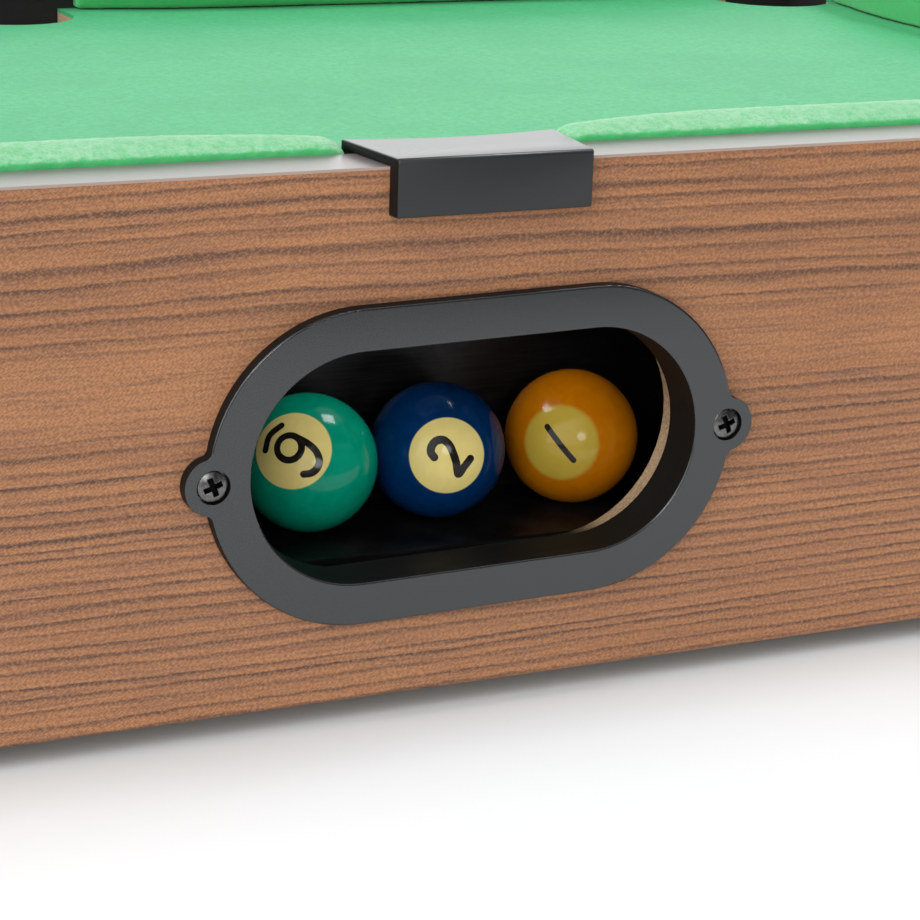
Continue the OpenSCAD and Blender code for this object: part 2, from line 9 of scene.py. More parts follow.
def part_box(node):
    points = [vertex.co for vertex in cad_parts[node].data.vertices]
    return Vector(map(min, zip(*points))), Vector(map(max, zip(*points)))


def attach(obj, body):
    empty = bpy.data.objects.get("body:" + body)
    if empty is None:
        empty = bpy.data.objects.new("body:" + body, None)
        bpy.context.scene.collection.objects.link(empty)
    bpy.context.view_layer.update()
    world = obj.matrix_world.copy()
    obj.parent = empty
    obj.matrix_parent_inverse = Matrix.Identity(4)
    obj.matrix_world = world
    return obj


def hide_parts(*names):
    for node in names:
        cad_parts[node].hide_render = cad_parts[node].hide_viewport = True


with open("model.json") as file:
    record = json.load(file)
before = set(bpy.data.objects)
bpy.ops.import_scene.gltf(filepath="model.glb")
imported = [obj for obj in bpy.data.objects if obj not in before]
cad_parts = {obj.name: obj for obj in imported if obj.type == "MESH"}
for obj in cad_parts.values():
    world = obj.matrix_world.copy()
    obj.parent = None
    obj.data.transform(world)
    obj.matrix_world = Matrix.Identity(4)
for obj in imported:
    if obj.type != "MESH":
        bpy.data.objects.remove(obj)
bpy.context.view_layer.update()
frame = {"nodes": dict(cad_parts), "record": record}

MM = 0.001
MM_PER_M = 1000
NODES = frame["nodes"]


# Camera

PICTURE_PX = 920
FOCAL_PX = 2728.2
SENSOR_MM = 36.0
CLIP_START = 0.01
CAMERA_PLACE = Vector((-197.65, -558.7, 181.5)) * MM
CAMERA_YAW = math.radians(25.668)
CAMERA_PITCH = math.radians(16.921)
CAMERA_ROLL = math.radians(-2.027)


def camera_axes():
    """The camera's right, down and forward directions: yaw turns towards +X and pitch looks down."""
    forward = Vector((
        math.sin(CAMERA_YAW) * math.cos(CAMERA_PITCH),
        math.cos(CAMERA_YAW) * math.cos(CAMERA_PITCH),
        -math.sin(CAMERA_PITCH),
    ))
    level = Vector((math.cos(CAMERA_YAW), -math.sin(CAMERA_YAW), 0))
    steep = forward.cross(level)
    c, s = math.cos(CAMERA_ROLL), math.sin(CAMERA_ROLL)
    return c * level + s * steep, c * steep - s * level, forward


def make_camera():
    """The camera that sees the part as the photo does."""
    right, down, forward = camera_axes()
    data = bpy.data.cameras.new("camera")
    data.sensor_width = SENSOR_MM
    data.lens = SENSOR_MM * FOCAL_PX / PICTURE_PX
    data.clip_start = CLIP_START
    camera = bpy.data.objects.new("camera", data)
    axes = Matrix((right, -down, -forward)).transposed().to_4x4()
    camera.matrix_world = Matrix.Translation(CAMERA_PLACE) @ axes
    bpy.context.scene.collection.objects.link(camera)
    bpy.context.scene.camera = camera


# Node trees

BEVEL_SAMPLES = 6


class Graph:
    """A node tree, with one short call for each node."""

    def __init__(self, tree):
        self.tree = tree

    def node(self, kind, **settings):
        made = self.tree.nodes.new("ShaderNode" + kind)
        for key, value in settings.items():
            setattr(made, key, value)
        return made

    def feed(self, node, **inputs):
        """Sets a node's inputs by name, with _ for a space: a socket is linked and a value is set."""
        for key, value in inputs.items():
            self.put(node.inputs[key.replace("_", " ")], value)

    def put(self, socket, value):
        if isinstance(value, bpy.types.NodeSocket):
            self.tree.links.new(value, socket)
        elif socket.type == "RGBA" and isinstance(value, tuple):
            socket.default_value = (*value, 1)
        else:
            socket.default_value = value

    def math(self, operation, a, b=0.0, c=0.0):
        made = self.node("Math", operation=operation)
        for socket, value in zip(made.inputs, (a, b, c)):
            self.put(socket, value)
        return made.outputs[0]

    def vector(self, operation, a, b):
        made = self.node("VectorMath", operation=operation)
        self.put(made.inputs[0], a)
        self.put(made.inputs[1], b)
        return made.outputs

    def stretch(self, vector, factors):
        return self.vector("MULTIPLY", vector, factors)["Vector"]

    def dot(self, vector, way):
        return self.vector("DOT_PRODUCT", vector, way)["Value"]

    def place(self):
        """The point on the part, in mm."""
        return self.stretch(self.node("TexCoord").outputs["Object"], (MM_PER_M, MM_PER_M, MM_PER_M))

    def facing(self, normal="True Normal"):
        """The X, Y and Z of a face's direction."""
        return self.split(self.node("NewGeometry").outputs[normal])

    def split(self, vector):
        made = self.node("SeparateXYZ")
        self.put(made.inputs[0], vector)
        return made.outputs

    def join(self, x, y, z):
        made = self.node("CombineXYZ")
        self.feed(made, X=x, Y=y, Z=z)
        return made.outputs[0]

    def noise(self, vector, scale=1.0, detail=2.0, roughness=0.5, distortion=0.0):
        made = self.node("TexNoise")
        self.feed(made, Vector=vector, Scale=scale, Detail=detail)
        self.feed(made, Roughness=roughness, Distortion=distortion)
        return made.outputs[0]

    def span(self, value, low, high, to_low=0.0, to_high=1.0, smooth=True):
        """The value between low and high, moved to between to_low and to_high."""
        made = self.node("MapRange", interpolation_type="SMOOTHSTEP" if smooth else "LINEAR")
        self.feed(made, Value=value, From_Min=low, From_Max=high, To_Min=to_low, To_Max=to_high)
        return made.outputs[0]

    def mix(self, share, a, b):
        """A colour between a and b."""
        made = self.node("Mix", data_type="RGBA")
        self.put(made.inputs[0], share)
        self.put(made.inputs[6], a)
        self.put(made.inputs[7], b)
        return made.outputs[2]

    def bump(self, height, depth_mm, strength, normal=None):
        made = self.node("Bump")
        self.feed(made, Height=height, Distance=depth_mm * MM, Strength=strength)
        if normal is not None:
            self.feed(made, Normal=normal)
        return made.outputs[0]

    def rounded(self, radius_mm):
        made = self.node("Bevel", samples=BEVEL_SAMPLES)
        self.feed(made, Radius=radius_mm * MM)
        return made.outputs[0]


class Material(Graph):
    """A new material's node tree, which ends in one principled shader."""

    def __init__(self, name):
        self.material = bpy.data.materials.new(name)
        self.material.use_nodes = True
        super().__init__(self.material.node_tree)
        self.tree.nodes.clear()
        self.shader = self.node("BsdfPrincipled")
        self.feed(self.node("OutputMaterial"), Surface=self.shader.outputs[0])

    def finish(self, **inputs):
        self.feed(self.shader, **inputs)
        return self.material


# Raw and black boards

RAW_DEEP = (0.34, 0.220, 0.126)
RAW_PALE = (0.57, 0.415, 0.262)
RAW_SPECK = (0.17, 0.10, 0.055)
RAW_CLOUD = (0.44, 0.30, 0.18)
LAMINATE_DEEP = (0.003, 0.003, 0.003)
LAMINATE_PALE = (0.010, 0.010, 0.0095)


def raw_colour(g, place):
    """Raw fibreboard: pale brown, packed with short dark and light fibres."""
    fibre = g.noise(g.stretch(place, (1.0, 1.0, 2.2)), 1.6, 4.0, 0.7, 0.4)
    speck = g.noise(place, 5.5, 2.0, 0.6)
    cloud = g.noise(place, 0.05)
    colour = g.mix(g.span(fibre, 0.35, 0.68), RAW_DEEP, RAW_PALE)
    colour = g.mix(g.span(speck, 0.58, 0.72, 0.0, 0.55), colour, RAW_SPECK)
    colour = g.mix(g.span(cloud, 0.4, 0.7, 0.0, 0.3), colour, RAW_CLOUD)
    return colour, fibre


def raw_board():
    """Raw fibreboard."""
    g = Material("raw_board")
    colour, fibre = raw_colour(g, g.place())
    normal = g.bump(fibre, 0.12, 0.8)
    rough = g.span(fibre, 0.3, 0.7, 0.75, 0.92)
    return g.finish(Base_Color=colour, Roughness=rough, Normal=normal)


def black_board():
    """Black laminate with a faint lengthwise grain."""
    g = Material("black_board")
    place = g.place()
    grain = g.noise(g.stretch(place, (0.10, 0.10, 2.6)), 1.0, 4.0, 0.65)
    cloud = g.noise(place, 0.3, 3.0, 0.7)
    colour = g.mix(g.span(grain, 0.4, 0.7), LAMINATE_DEEP, LAMINATE_PALE)
    normal = g.bump(grain, 0.03, 0.5)
    rough = g.span(cloud, 0.3, 0.7, 0.30, 0.42)
    return g.finish(Base_Color=colour, Roughness=rough, Normal=normal, Specular_IOR_Level=0.25)


# Wood foil, with heights in mm above the floor

SWAY_MM = 9.0
WAVE_MM = 2.0
RAGGED_MM = 0.8
LINES_PER_MM = 0.36
MORE_LINES_PER_MM = 0.09
UNEVEN_LINES = 2.0
LOW_GRAIN_Z = 62.0
PLAIN_GRAIN_Z = 68.5
PLAIN_GRAIN_SHARE = 0.16
WEAVE_SLANT = math.radians(38)
DASHES_ALONG = 1.3
DASHES_ACROSS = 4.4
SILL_Z = 25.0
SILL_FADE_MM = 2.5
FOIL_ROUND_MM = 0.3
FOIL_DEEP = (0.445, 0.195, 0.086)
FOIL_WARM = (0.525, 0.235, 0.103)
FOIL_FIBRE = (0.275, 0.132, 0.082)
FOIL_STREAK = (0.570, 0.272, 0.132)
FOIL_LINE = (0.082, 0.044, 0.036)
FOIL_PORE_GLINT = (0.49, 0.265, 0.160)
WEAVE_SHADE_PAINT = (0.105, 0.053, 0.037)
WEAVE_HIGHLIGHT_PAINT = (0.66, 0.36, 0.20)
BACKING_BLACK = (0.008, 0.008, 0.008)


def board_noise(g, run, height, per_run, per_height, seed, detail=2.0, roughness=0.5):
    """Noise drawn out along a board: per_run and per_height are its cells in each mm."""
    place = g.join(g.math("MULTIPLY", run, per_run), seed, g.math("MULTIPLY", height, per_height))
    return g.noise(place, 1.0, detail, roughness)


def growth_lines(g, run, z):
    """Growth lines of wood along a board: each is dark on its upper side and fades downwards."""
    slow = board_noise(g, run, z, 0.0045, 0.016, 0.0, 1.0)
    wavy = board_noise(g, run, z, 0.022, 0.11, 3.7)
    ragged = board_noise(g, run, z, 0.20, 1.1, 9.1, 3.0, 0.6)
    height = g.math("MULTIPLY_ADD", slow, SWAY_MM, z)
    height = g.math("MULTIPLY_ADD", wavy, WAVE_MM, height)
    height = g.math("MULTIPLY_ADD", ragged, RAGGED_MM, height)
    low_part = g.math("MINIMUM", g.math("SUBTRACT", height, LOW_GRAIN_Z), 0.0)
    uneven = g.noise(g.join(0.0, 0.0, g.math("MULTIPLY", height, 0.19)), 1.0, 1.0)
    phase = g.math("MULTIPLY_ADD", uneven, UNEVEN_LINES, g.math("MULTIPLY", height, LINES_PER_MM))
    phase = g.math("MULTIPLY_ADD", low_part, MORE_LINES_PER_MM, phase)
    ring = g.math("FRACT", phase)
    which = g.math("FLOOR", phase)
    weight = g.node("TexWhiteNoise", noise_dimensions="1D")
    g.feed(weight, W=which)
    fade = g.noise(g.join(g.math("MULTIPLY", run, 0.02), g.math("MULTIPLY", which, 3.3), 0.0))
    core = g.math("MULTIPLY", g.span(ring, 0.50, 0.80), g.span(ring, 0.82, 1.0, 1.0, 0.0))
    shade = g.math("MULTIPLY", g.span(ring, 0.05, 0.80), g.span(ring, 0.86, 1.0, 1.0, 0.0))
    line = g.math("MULTIPLY_ADD", core, 0.60, g.math("MULTIPLY", shade, 0.36))
    line = g.math("MULTIPLY", line, g.span(weight.outputs[0], 0.0, 1.0, 0.7, 1.0))
    line = g.math("MULTIPLY", line, g.span(fade, 0.3, 0.7, 0.7, 1.0))
    plain = g.math("ABSOLUTE", g.math("SUBTRACT", height, PLAIN_GRAIN_Z))
    line = g.math("MULTIPLY", line, g.span(plain, 5.0, 8.5, PLAIN_GRAIN_SHARE, 1.0))
    return line, height


def weave(g, run, z):
    """Fine embossed weave: short slanting dashes, crossed by fainter ones that slant the other way."""
    total = 0.0
    for slant, share in ((WEAVE_SLANT, 0.6), (-WEAVE_SLANT, 0.4)):
        c, s = math.cos(slant), math.sin(slant)
        along = g.math("MULTIPLY_ADD", z, s, g.math("MULTIPLY", run, c))
        across = g.math("MULTIPLY_ADD", z, c, g.math("MULTIPLY", run, -s))
        dash = board_noise(g, along, across, DASHES_ALONG, DASHES_ACROSS, 10 * share, 1.0)
        total = g.math("MULTIPLY_ADD", dash, share, total)
    return g.span(total, 0.36, 0.64)


def foil_colour(g, run, z):
    """The foil's printed colour, its relief and its weave."""
    line, height = growth_lines(g, run, z)
    fibre = board_noise(g, run, height, 0.045, 1.5, 0.0, 3.0, 0.6)
    pore = board_noise(g, run, z, 0.22, 3.0, 5.0, 2.0, 0.6)
    tone = board_noise(g, run, height, 0.012, 0.08, 8.0)
    streak = board_noise(g, run, height, 0.03, 2.6, 2.0, 2.0, 0.6)
    hatch = weave(g, run, z)
    colour = g.mix(g.span(tone, 0.35, 0.65), FOIL_DEEP, FOIL_WARM)
    colour = g.mix(g.span(fibre, 0.42, 0.68, 0.0, 0.75), colour, FOIL_FIBRE)
    colour = g.mix(g.span(streak, 0.50, 0.68, 0.0, 0.45), colour, FOIL_STREAK)
    colour = g.mix(line, colour, FOIL_LINE)
    # Painted glints: pale short pores, stronger lower on the board.
    pale = g.math("MULTIPLY", g.span(pore, 0.56, 0.70, 0.0, 0.40), g.span(z, 35.0, 75.0, 1.0, 0.45))
    colour = g.mix(pale, colour, FOIL_PORE_GLINT)
    # Painted shade and painted highlight of the embossed weave, laid over its bump.
    colour = g.mix(g.span(hatch, 0.15, 0.50, 0.36, 0.0), colour, WEAVE_SHADE_PAINT)
    colour = g.mix(g.span(hatch, 0.55, 0.90, 0.0, 0.30), colour, WEAVE_HIGHLIGHT_PAINT)
    relief = g.math("MULTIPLY_ADD", line, -0.8, g.math("MULTIPLY_ADD", hatch, 0.35, pore))
    return colour, relief, hatch


def wood_foil(name, along):
    """Printed wood foil on a board's outer faces. Its back and sills are black and other edges raw."""
    g = Material(name)
    place = g.place()
    x, y, z = g.split(place)
    facing_x, facing_y, facing_z = g.facing()
    if along == "X":
        run, across, facing_run, facing_across = x, y, facing_x, facing_y
    else:
        run, across, facing_run, facing_across = y, x, facing_y, facing_x
    colour, relief, hatch = foil_colour(g, run, z)
    outward = g.math("MULTIPLY", facing_across, g.math("SIGN", across))
    endward = g.math("MULTIPLY", facing_run, g.math("SIGN", run))
    foil = g.span(g.math("MAXIMUM", outward, endward), 0.5, 0.6, smooth=False)
    backing = g.span(outward, -0.6, -0.5, 1.0, 0.0, smooth=False)
    low = g.span(z, SILL_Z, SILL_Z + SILL_FADE_MM, 1.0, 0.0)
    sill = g.math("MULTIPLY", g.span(facing_z, 0.3, 0.4), low)
    backing = g.math("MAXIMUM", backing, sill)
    raw, _ = raw_colour(g, place)
    colour = g.mix(foil, g.mix(backing, raw, BACKING_BLACK), colour)
    normal = g.bump(relief, 0.05, 0.8, g.rounded(FOIL_ROUND_MM))
    smoother = g.span(hatch, 0.0, 1.0, -0.22, -0.36)
    rough = g.math("MULTIPLY_ADD", foil, smoother, 0.76)
    return g.finish(Base_Color=colour, Roughness=rough, Normal=normal, Specular_IOR_Level=0.4)


# Grey edge

EDGE_DEEP = (0.150, 0.130, 0.130)
EDGE_PALE = (0.170, 0.148, 0.148)
EDGE_SIDE_PALE = (0.50, 0.38, 0.32)


def grey_edge():
    """Glossy grey edging with faint streaks, and pale brown on its steep outer faces."""
    g = Material("grey_edge")
    place = g.place()
    streak = g.noise(g.stretch(place, (0.04, 0.04, 1.0)), 1.0, 3.0)
    colour = g.mix(g.span(streak, 0.35, 0.65), EDGE_DEEP, EDGE_PALE)
    colour = g.mix(g.span(g.facing()[2], 0.5, 0.6), EDGE_SIDE_PALE, colour)
    normal = g.bump(g.noise(place, 5.0), 0.001, 0.3)
    rough = g.span(streak, 0.3, 0.7, 0.28, 0.32)
    return g.finish(Base_Color=colour, Roughness=rough, Normal=normal, Specular_IOR_Level=0.46)


# Felt

FELT_SHEEN_TINT = (0.96, 1.0, 0.97)
# The cushion felt's pale top and deep sides are painted sheen and painted shade on one green felt.
CUSHION_FELT = {
    "mid": (0.120, 0.44, 0.190), "pale": (0.315, 0.565, 0.370), "side_shade": (0.046, 0.46, 0.130),
    "fuzz_mm": 0.17, "gloss": 0.2, "sheen": 0.2,
}
BED_FELT = {
    "mid": (0.028, 0.322, 0.127), "pale": (0.076, 0.468, 0.204),
    "fuzz_mm": 0.12, "gloss": 0.42, "sheen": 0.05,
}


def felt(name, mid, pale, fuzz_mm, gloss, sheen, side_shade=None):
    """Flocked felt: mottled short fibres with a soft sheen. Steep faces take any side_shade colour as
    painted shade.
    """
    g = Material(name)
    place = g.place()
    fibre = g.noise(place, 2.2, 3.0, 0.7, 0.5)
    clump = g.noise(place, 0.6, 3.0, 0.65, 0.3)
    cloud = g.noise(place, 0.03, 3.0, 0.6)
    mottle = g.math("MULTIPLY_ADD", clump, 0.5, g.math("MULTIPLY", fibre, 0.5))
    colour = g.mix(g.span(mottle, 0.29, 0.71), mid, pale)
    colour = g.mix(g.span(cloud, 0.35, 0.7, 0.0, 0.4), colour, mid)
    # Painted light: steep faces take the darker side colour as shade, so the top reads paler, as a painted
    # sheen.
    if side_shade is not None:
        up = g.facing("Normal")[2]
        top_sheen_share = g.math("MULTIPLY_ADD", g.math("SUBTRACT", mottle, 0.5), 0.9, up)
        side = g.mix(g.span(mottle, 0.34, 0.66, 0.0, 0.6), side_shade, mid)
        colour = g.mix(g.span(top_sheen_share, 0.45, 0.93), side, colour)
    height = g.math("MULTIPLY_ADD", fibre, 0.7, g.math("MULTIPLY", clump, 0.6))
    normal = g.bump(height, fuzz_mm, 0.9)
    return g.finish(
        Base_Color=colour, Roughness=0.62, Specular_IOR_Level=gloss, Normal=normal,
        Sheen_Weight=sheen, Sheen_Roughness=0.45, Sheen_Tint=FELT_SHEEN_TINT,
    )


# Plastic, metal and rubber

GUARD_LOW_Z = 80.0
PLASTIC_ROUND_MM = 0.12
PLASTIC_WALL_SHADE = (0.006, 0.006, 0.006)
PLASTIC_DEEP = (0.019, 0.020, 0.021)
PLASTIC_PALE = (0.022, 0.023, 0.024)
PLASTIC_TINT = (0.93, 0.97, 1.0)
WALL_FINISH = (0.5, 0.15)
FRAME_FINISH = (-0.37, 0.62)
GUARD_TOP_FINISH = (-0.18, 0.33)
GUARD_SKIRT_FINISH = (-0.08, 0.32)
SCREW_ROUND_MM = 0.2
SCREW_FACE_Y = -156.8
SCREW_RECESS_SHADE = (0.004, 0.004, 0.004)
BLACK_SCREW = {
    "colours": ((0.13, 0.13, 0.13), (0.20, 0.20, 0.195)), "roughs": (0.24, 0.34), "face_y": SCREW_FACE_Y,
}
PLAIN_SCREW = {"colours": ((0.42, 0.42, 0.43), (0.58, 0.58, 0.59)), "roughs": (0.25, 0.4)}
RUBBER_DEEP = (0.012, 0.012, 0.012)
RUBBER_DUST = (0.045, 0.044, 0.042)


def black_plastic():
    """Moulded black plastic: a glossy window frame, satin guards, and dull walls, which are painted darker
    as shade.

    A finish is a roughness and a specular level. Those of the frame and guards add to the walls'.
    """
    g = Material("black_plastic")
    place = g.place()
    grain = g.noise(place, 4.0, 2.0, 0.6)
    _, facing_y, facing_z = g.facing()
    high = g.span(g.split(place)[2], GUARD_LOW_Z, GUARD_LOW_Z + 1)
    front = g.span(g.math("ABSOLUTE", facing_y), 0.45, 0.8)
    skirt = g.math("MULTIPLY", front, high)
    face = g.math("SUBTRACT", front, skirt)
    top = g.math("MULTIPLY", g.span(facing_z, 0.45, 0.8), high)
    pale = g.mix(grain, PLASTIC_DEEP, PLASTIC_PALE)
    # The walls' darker colour is painted shade; faces and tops keep the plastic's own colour.
    colour = g.mix(g.math("MAXIMUM", front, top), PLASTIC_WALL_SHADE, pale)
    normal = g.bump(grain, 0.003, 0.3, g.rounded(PLASTIC_ROUND_MM))
    rough, level = WALL_FINISH
    finishes = ((face, FRAME_FINISH), (top, GUARD_TOP_FINISH), (skirt, GUARD_SKIRT_FINISH))
    for part, (more_rough, more_level) in finishes:
        rough = g.math("MULTIPLY_ADD", part, more_rough, rough)
        level = g.math("MULTIPLY_ADD", part, more_level, level)
    return g.finish(
        Base_Color=colour, Roughness=rough, Normal=normal, Specular_IOR_Level=level,
        Specular_Tint=PLASTIC_TINT,
    )


def metal(name, colours, roughs, face_y=None):
    """Plated or blackened screw metal with fine scratches. Behind face_y, if that is set, it is painted
    dark as shade in the recess.
    """
    g = Material(name)
    place = g.place()
    worn = g.noise(place, 1.6, 4.0, 0.7)
    scratch = g.noise(g.stretch(place, (6.0, 1.0, 1.5)))
    colour = g.mix(g.span(worn, 0.4, 0.7), *colours)
    if face_y is not None:
        # Painted shade: the recess behind the screw's face is made dark.
        behind = g.span(g.split(place)[1], face_y - 0.1, face_y + 0.1)
        colour = g.mix(behind, colour, SCREW_RECESS_SHADE)
    normal = g.bump(scratch, 0.01, 0.4, g.rounded(SCREW_ROUND_MM))
    rough = g.span(worn, 0.3, 0.7, *roughs)
    return g.finish(Base_Color=colour, Roughness=rough, Normal=normal, Metallic=1.0)


def rubber():
    """Black rubber with a dusty bloom."""
    g = Material("foot_rubber")
    place = g.place()
    bloom = g.noise(place, 0.6, 4.0, 0.7)
    colour = g.mix(g.span(bloom, 0.4, 0.75), RUBBER_DEEP, RUBBER_DUST)
    normal = g.bump(g.noise(place, 4.0, 3.0), 0.04, 0.6)
    rough = g.span(bloom, 0.3, 0.7, 0.6, 0.85)
    return g.finish(Base_Color=colour, Roughness=rough, Normal=normal)


# Ball resin and ink

BALL_R = 12.5
DISC_ANGLE = math.radians(33)
BALL_GLOSS = 0.22
INK_DEEP = (0.010, 0.009, 0.008)
INK_WORN = (0.022, 0.019, 0.016)


def ball_resin(name, colours, cream, axis, edge_deg):
    """Polished cast resin with a faint swirl, and a cream disc at both ends of the axis."""
    g = Material(name)
    place = g.place()
    swirl = g.span(g.noise(place, 0.22, 3.0, 0.6, 1.2), 0.3, 0.7)
    micro = g.noise(place, 3.0)
    colour = g.mix(swirl, *colours)
    pale = g.mix(swirl, tuple(0.95 * c for c in cream), cream)
    along = g.dot(place, tuple(axis / BALL_R))
    outer, inner = (math.cos(DISC_ANGLE + s * math.radians(edge_deg)) for s in (0.5, -0.5))
    disc = g.span(g.math("ABSOLUTE", along), outer, inner)
    colour = g.mix(disc, colour, pale)
    normal = g.bump(micro, 0.002, 0.2)
    rough = g.span(micro, 0.3, 0.7, 0.09, 0.13)
    return g.finish(Base_Color=colour, Roughness=rough, Normal=normal, Specular_IOR_Level=BALL_GLOSS)


def ink():
    """The black ink of the balls' numbers, a little worn."""
    g = Material("ball_ink")
    patch = g.noise(g.place(), 2.2, 3.0, 0.6)
    colour = g.mix(g.span(patch, 0.4, 0.7), INK_DEEP, INK_WORN)
    rough = g.span(patch, 0.3, 0.7, 0.10, 0.15)
    return g.finish(Base_Color=colour, Roughness=rough, Specular_IOR_Level=BALL_GLOSS)


# Piece helpers

WELD_REACH = 2e-6
FLAT_ANGLE = math.radians(1)
SHARP_ANGLE = math.radians(40)
GUARD_ROUND_MM = 0.3
GUARD_ROUND_STEPS = 3


def link(piece):
    """Puts a piece in the scene."""
    bpy.context.scene.collection.objects.link(piece)
    return piece


def dress(piece, material):
    """Gives a piece one material."""
    piece.data.materials.clear()
    piece.data.materials.append(material)


def smooth(piece):
    """Shades all faces of a piece smooth."""
    for face in piece.data.polygons:
        face.use_smooth = True


def piece_from(made, name):
    """A piece from a bmesh, which is used up."""
    mesh = bpy.data.meshes.new(name)
    made.to_mesh(mesh)
    made.free()
    return link(bpy.data.objects.new(name, mesh))


def copy_of(node, name):
    """A piece with a copy of a CAD node's mesh, with its split corners joined."""
    made = bmesh.new()
    made.from_mesh(NODES[node].data)
    bmesh.ops.remove_doubles(made, verts=made.verts, dist=WELD_REACH)
    return piece_from(made, name)


def apply_modifiers(piece):
    """Replaces a piece's mesh with what its modifiers make of it."""
    seen = piece.evaluated_get(bpy.context.evaluated_depsgraph_get())
    mesh = bpy.data.meshes.new_from_object(seen)
    piece.modifiers.clear()
    piece.data = mesh


def piece_body(node):
    """The body that a CAD node belongs to."""
    groups = frame["record"]["behaviour"]["bodies"]
    return next(body for body, members in groups.items() if node in members)


def stands_for(piece, node):
    """Lets a piece take the place of a CAD node."""
    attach(piece, piece_body(node))
    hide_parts(node)


def rounded_copy(node, radius_mm, material):
    """A copy of a CAD node with its sharp edges rounded over, which stands for the node."""
    piece = copy_of(node, node + "_rounded")
    flat = piece.modifiers.new("flat", "DECIMATE")
    flat.decimate_type = "DISSOLVE"
    flat.angle_limit = FLAT_ANGLE
    round_off = piece.modifiers.new("round", "BEVEL")
    round_off.width = radius_mm * MM
    round_off.segments = GUARD_ROUND_STEPS
    round_off.limit_method = "ANGLE"
    round_off.angle_limit = SHARP_ANGLE
    round_off.harden_normals = True
    apply_modifiers(piece)
    smooth(piece)
    dress(piece, material)
    stands_for(piece, node)


# Cushions

NEAR_VOXEL_MM = 0.55
FAR_VOXEL_MM = 0.9
NAP_FINE = 1.1
NAP_FINE_MM = 0.11
NAP_BROAD = 0.35
NAP_BROAD_MM = 0.10
NAP_SHIFT = Vector((7, 3, 1))


def felt_cushion(node, material, voxel_mm):
    """A rail cushion: the CAD strip as a closed skin of even small faces, with a short uneven nap."""
    piece = copy_of(node, node + "_felt")
    skin = piece.modifiers.new("skin", "REMESH")
    skin.mode = "VOXEL"
    skin.voxel_size = voxel_mm * MM
    even = piece.modifiers.new("even", "SMOOTH")
    even.factor = 0.5
    even.iterations = 1
    apply_modifiers(piece)
    mesh = piece.data
    low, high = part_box(node)
    for axis in range(3):
        reach = [vertex.co[axis] for vertex in mesh.vertices]
        start = min(reach)
        stretch = (high[axis] - low[axis]) / (max(reach) - start)
        for vertex in mesh.vertices:
            vertex.co[axis] = low[axis] + (vertex.co[axis] - start) * stretch
    moves = []
    for vertex in mesh.vertices:
        spot = vertex.co * MM_PER_M
        fine = noise.noise(spot * NAP_FINE) * NAP_FINE_MM
        broad = noise.noise(spot * NAP_BROAD + NAP_SHIFT) * NAP_BROAD_MM
        moves.append(vertex.normal * ((fine + broad) * MM))
    for vertex, move in zip(mesh.vertices, moves):
        vertex.co += move
    smooth(piece)
    dress(piece, material)
    stands_for(piece, node)


# Bed cloth

CLOTH_GRID_MM = 4.0
CLOTH_SWELL_MM = 0.06
SWELL_BROAD = 0.05
SWELL_FINE = 0.14
SWELL_SHIFT = Vector((3, 8, 5))


def bed_sheet(node, material):
    """The bed's cloth: the CAD sheet cut into a grid, with the slight swells of cloth glued on a board."""
    piece = copy_of(node, node + "_felt")
    low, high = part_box(node)
    made = bmesh.new()
    made.from_mesh(piece.data)
    bmesh.ops.dissolve_limit(made, angle_limit=FLAT_ANGLE, verts=made.verts, edges=made.edges)
    for axis in (0, 1):
        way = Vector((axis == 0, axis == 1, 0))
        count = round((high[axis] - low[axis]) / (CLOTH_GRID_MM * MM))
        for i in range(1, count):
            cut = low + (high - low) * (i / count)
            everything = [*made.verts, *made.edges, *made.faces]
            bmesh.ops.bisect_plane(made, geom=everything, plane_co=cut, plane_no=way)
    flat_area = 0.0
    for face in made.faces:
        if face.normal.z > 0.5:
            flat_area += face.calc_area()
        face.smooth = abs(face.normal.z) > 0.5
    for vertex in made.verts:
        if vertex.co.z > high.z - CLOTH_SWELL_MM * MM:
            spot = vertex.co * MM_PER_M
            swell = noise.noise(spot * SWELL_BROAD) * 0.5
            swell += noise.noise(spot * SWELL_FINE + SWELL_SHIFT) * 0.5
            vertex.co.z += swell * CLOTH_SWELL_MM * MM
    made.to_mesh(piece.data)
    made.free()
    piece.data.set_sharp_from_angle(angle=SHARP_ANGLE)
    dress(piece, material)
    stands_for(piece, node)


# Balls, with the strokes of their digits in ball radii

BALL_RINGS = 60
BALL_SPOKES = 96
INK_LIFT_MM = 0.02
STROKE_STEPS = 10
STROKE_CAP_ROWS = 6
STROKE_COLUMNS = 4
SIX_BOWL_R = 0.177
SIX_BOWL_UP = -0.035
SIX_BOWL_STEP_DEG = 15
DIGIT_ONE = [[(0, 0.31), (0, -0.31)]]
DIGIT_TWO = [[
    (-0.135, 0.153), (-0.108, 0.234), (-0.027, 0.279), (0.072, 0.27), (0.14, 0.198), (0.135, 0.09),
    (0.081, -0.018), (0.0, -0.144), (-0.108, -0.279), (0.027, -0.279), (0.171, -0.279),
]]
SIX_BOWL = [
    (SIX_BOWL_R * math.cos(math.radians(a)), SIX_BOWL_R * math.sin(math.radians(a)) + SIX_BOWL_UP)
    for a in range(0, 361, SIX_BOWL_STEP_DEG)
]
SIX_STEM = [
    (-SIX_BOWL_R, SIX_BOWL_UP), (-0.19, 0.14), (-0.165, 0.29), (-0.09, 0.40), (0.02, 0.44),
    (0.13, 0.41), (0.205, 0.33),
]
SIX_UNDERLINE = [(-0.205, -0.33), (0, -0.395), (0.205, -0.33)]
DIGIT_SIX = [SIX_BOWL, SIX_STEM, SIX_UNDERLINE]
CREAM = (0.87, 0.72, 0.25)
# Ball one's disc: a yellower cream, made darker as painted shade.
SHADED_YELLOW_CREAM = (0.47, 0.335, 0.045)
